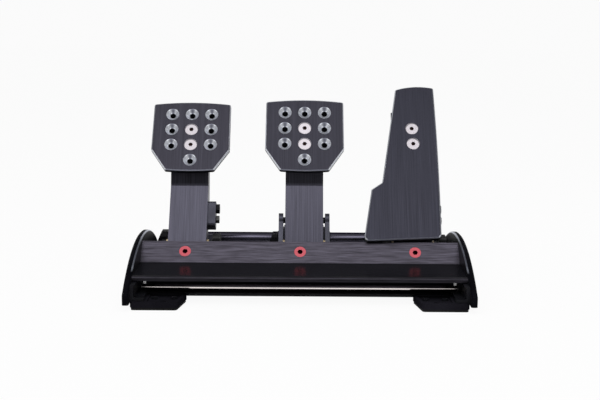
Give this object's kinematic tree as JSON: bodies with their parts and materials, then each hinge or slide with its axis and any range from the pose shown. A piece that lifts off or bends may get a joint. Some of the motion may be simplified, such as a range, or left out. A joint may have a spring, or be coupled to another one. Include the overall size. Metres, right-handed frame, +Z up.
{
  "type": "sim racing pedal set",
  "caption": "Floor-standing metal clutch, brake and throttle pedal set for a driving simulator, with folded arms on pivots, sprung push rods and a D-shaped side plate at each end.",
  "frame": {"origin": "centre of the footprint, on the floor under the rubber feet", "axes": "+X to the driver's right, +Y away from the driver, +Z up"},
  "size_m": [0.4206, 0.32, 0.2481],
  "materials": {
    "black_anodised": "satin",
    "brushed_black": "brushed",
    "side_plate_black": "satin",
    "black_steel": "satin",
    "bright_steel": "satin",
    "stainless": "polished",
    "red_anodised": "satin",
    "brass": "satin",
    "black_rubber": "matte",
    "elastomer": "matte",
    "black_plastic": "matte",
    "board_green": "matte",
    "grey_anodised": "satin"
  },
  "bodies": {
    "base": {"axle_circlips": "bright_steel", "bar_clamps": "side_plate_black", "beam_bolts": "red_anodised", "beam_brackets": "black_steel", "brake_cheek_left": "black_anodised", "brake_cheek_right": "black_anodised", "brake_elastomers": "elastomer", "brake_load_cell": "grey_anodised", "brake_stack_washers": "bright_steel", "cheek_screws": "black_steel", "circuit_board": "board_green", "clutch_cheek_left": "black_anodised", "clutch_cheek_right": "black_anodised", "clutch_sensor": "black_plastic", "clutch_spring": "black_steel", "clutch_trunnion": "grey_anodised", "electronics_housing": "black_plastic", "frame_screws": "black_steel", "front_beam": "brushed_black", "front_blocks": "black_anodised", "front_feet": "black_steel", "housing_cover": "black_plastic", "lower_rail": "black_steel", "pivot_axles": "bright_steel", "pivot_bushes": "brass", "rear_bar": "black_anodised", "rear_bar_block_left": "side_plate_black", "rear_bar_block_right": "side_plate_black", "rear_feet": "black_steel", "rubber_feet": "black_rubber", "side_plate_left": "side_plate_black", "side_plate_right": "side_plate_black", "sockets": "bright_steel", "stop_rubbers": "black_rubber", "throttle_cheek_left": "black_anodised", "throttle_cheek_right": "black_anodised", "throttle_sensor": "black_plastic", "throttle_spring": "black_steel", "throttle_trunnion": "grey_anodised", "tie_rod": "stainless"},
    "clutch_pedal": {"clutch_arm": "brushed_black", "clutch_pad": "black_anodised", "clutch_arm_screws": "bright_steel", "clutch_rod_pin": "black_steel", "clutch_side_block": "grey_anodised"},
    "clutch_push_rod": {"clutch_rod": "stainless", "clutch_rod_nuts": "red_anodised"},
    "brake_pedal": {"brake_arm": "brushed_black", "brake_pad": "black_anodised", "brake_arm_screws": "bright_steel", "brake_rod_pin": "black_steel"},
    "brake_push_rod": {"brake_rod": "stainless", "brake_rod_nuts": "red_anodised"},
    "throttle_pedal": {"throttle_arm": "brushed_black", "throttle_plate": "black_anodised", "throttle_arm_screws": "bright_steel", "throttle_rod_pin": "black_steel", "throttle_side_block": "grey_anodised"},
    "throttle_push_rod": {"throttle_rod": "stainless", "throttle_rod_nuts": "red_anodised"}
  },
  "joints": [
    {"name": "clutch_pedal_hinge", "type": "hinge", "parent": "base", "child": "clutch_pedal", "pos_m": [-0.145, -0.012, 0.047], "axis": [-1, 0, 0], "range_deg": [0, 20], "stiffness_Nm_per_rad": 20, "springref_deg": -20.05, "deforming": ["clutch_spring"]},
    {"name": "clutch_rod_swing", "type": "hinge", "parent": "clutch_pedal", "child": "clutch_push_rod", "pos_m": [-0.145, 0.02054, 0.09152], "axis": [-1, 0, 0], "range_deg": [-20, 0]},
    {"name": "brake_pedal_hinge", "type": "hinge", "parent": "base", "child": "brake_pedal", "pos_m": [0.005, -0.012, 0.047], "axis": [-1, 0, 0], "range_deg": [0, 8], "stiffness_Nm_per_rad": 400, "springref_deg": -1.15, "deforming": ["brake_elastomers", "brake_stack_washers"]},
    {"name": "brake_rod_swing", "type": "hinge", "parent": "brake_pedal", "child": "brake_push_rod", "pos_m": [0.005, 0.01776, 0.09343], "axis": [-1, 0, 0], "range_deg": [-8, 0]},
    {"name": "throttle_pedal_hinge", "type": "hinge", "parent": "base", "child": "throttle_pedal", "pos_m": [0.145, -0.012, 0.047], "axis": [-1, 0, 0], "range_deg": [0, 20], "stiffness_Nm_per_rad": 12, "springref_deg": -20.05, "deforming": ["throttle_spring"]},
    {"name": "throttle_rod_swing", "type": "hinge", "parent": "throttle_pedal", "child": "throttle_push_rod", "pos_m": [0.145, 0.02054, 0.09152], "axis": [-1, 0, 0], "range_deg": [-20, 0]}
  ],
  "couplings": [
    {"joint": "clutch_rod_swing", "follows": "clutch_pedal_hinge", "ratio": -1},
    {"joint": "brake_rod_swing", "follows": "brake_pedal_hinge", "ratio": -1},
    {"joint": "throttle_rod_swing", "follows": "throttle_pedal_hinge", "ratio": -1}
  ]
}
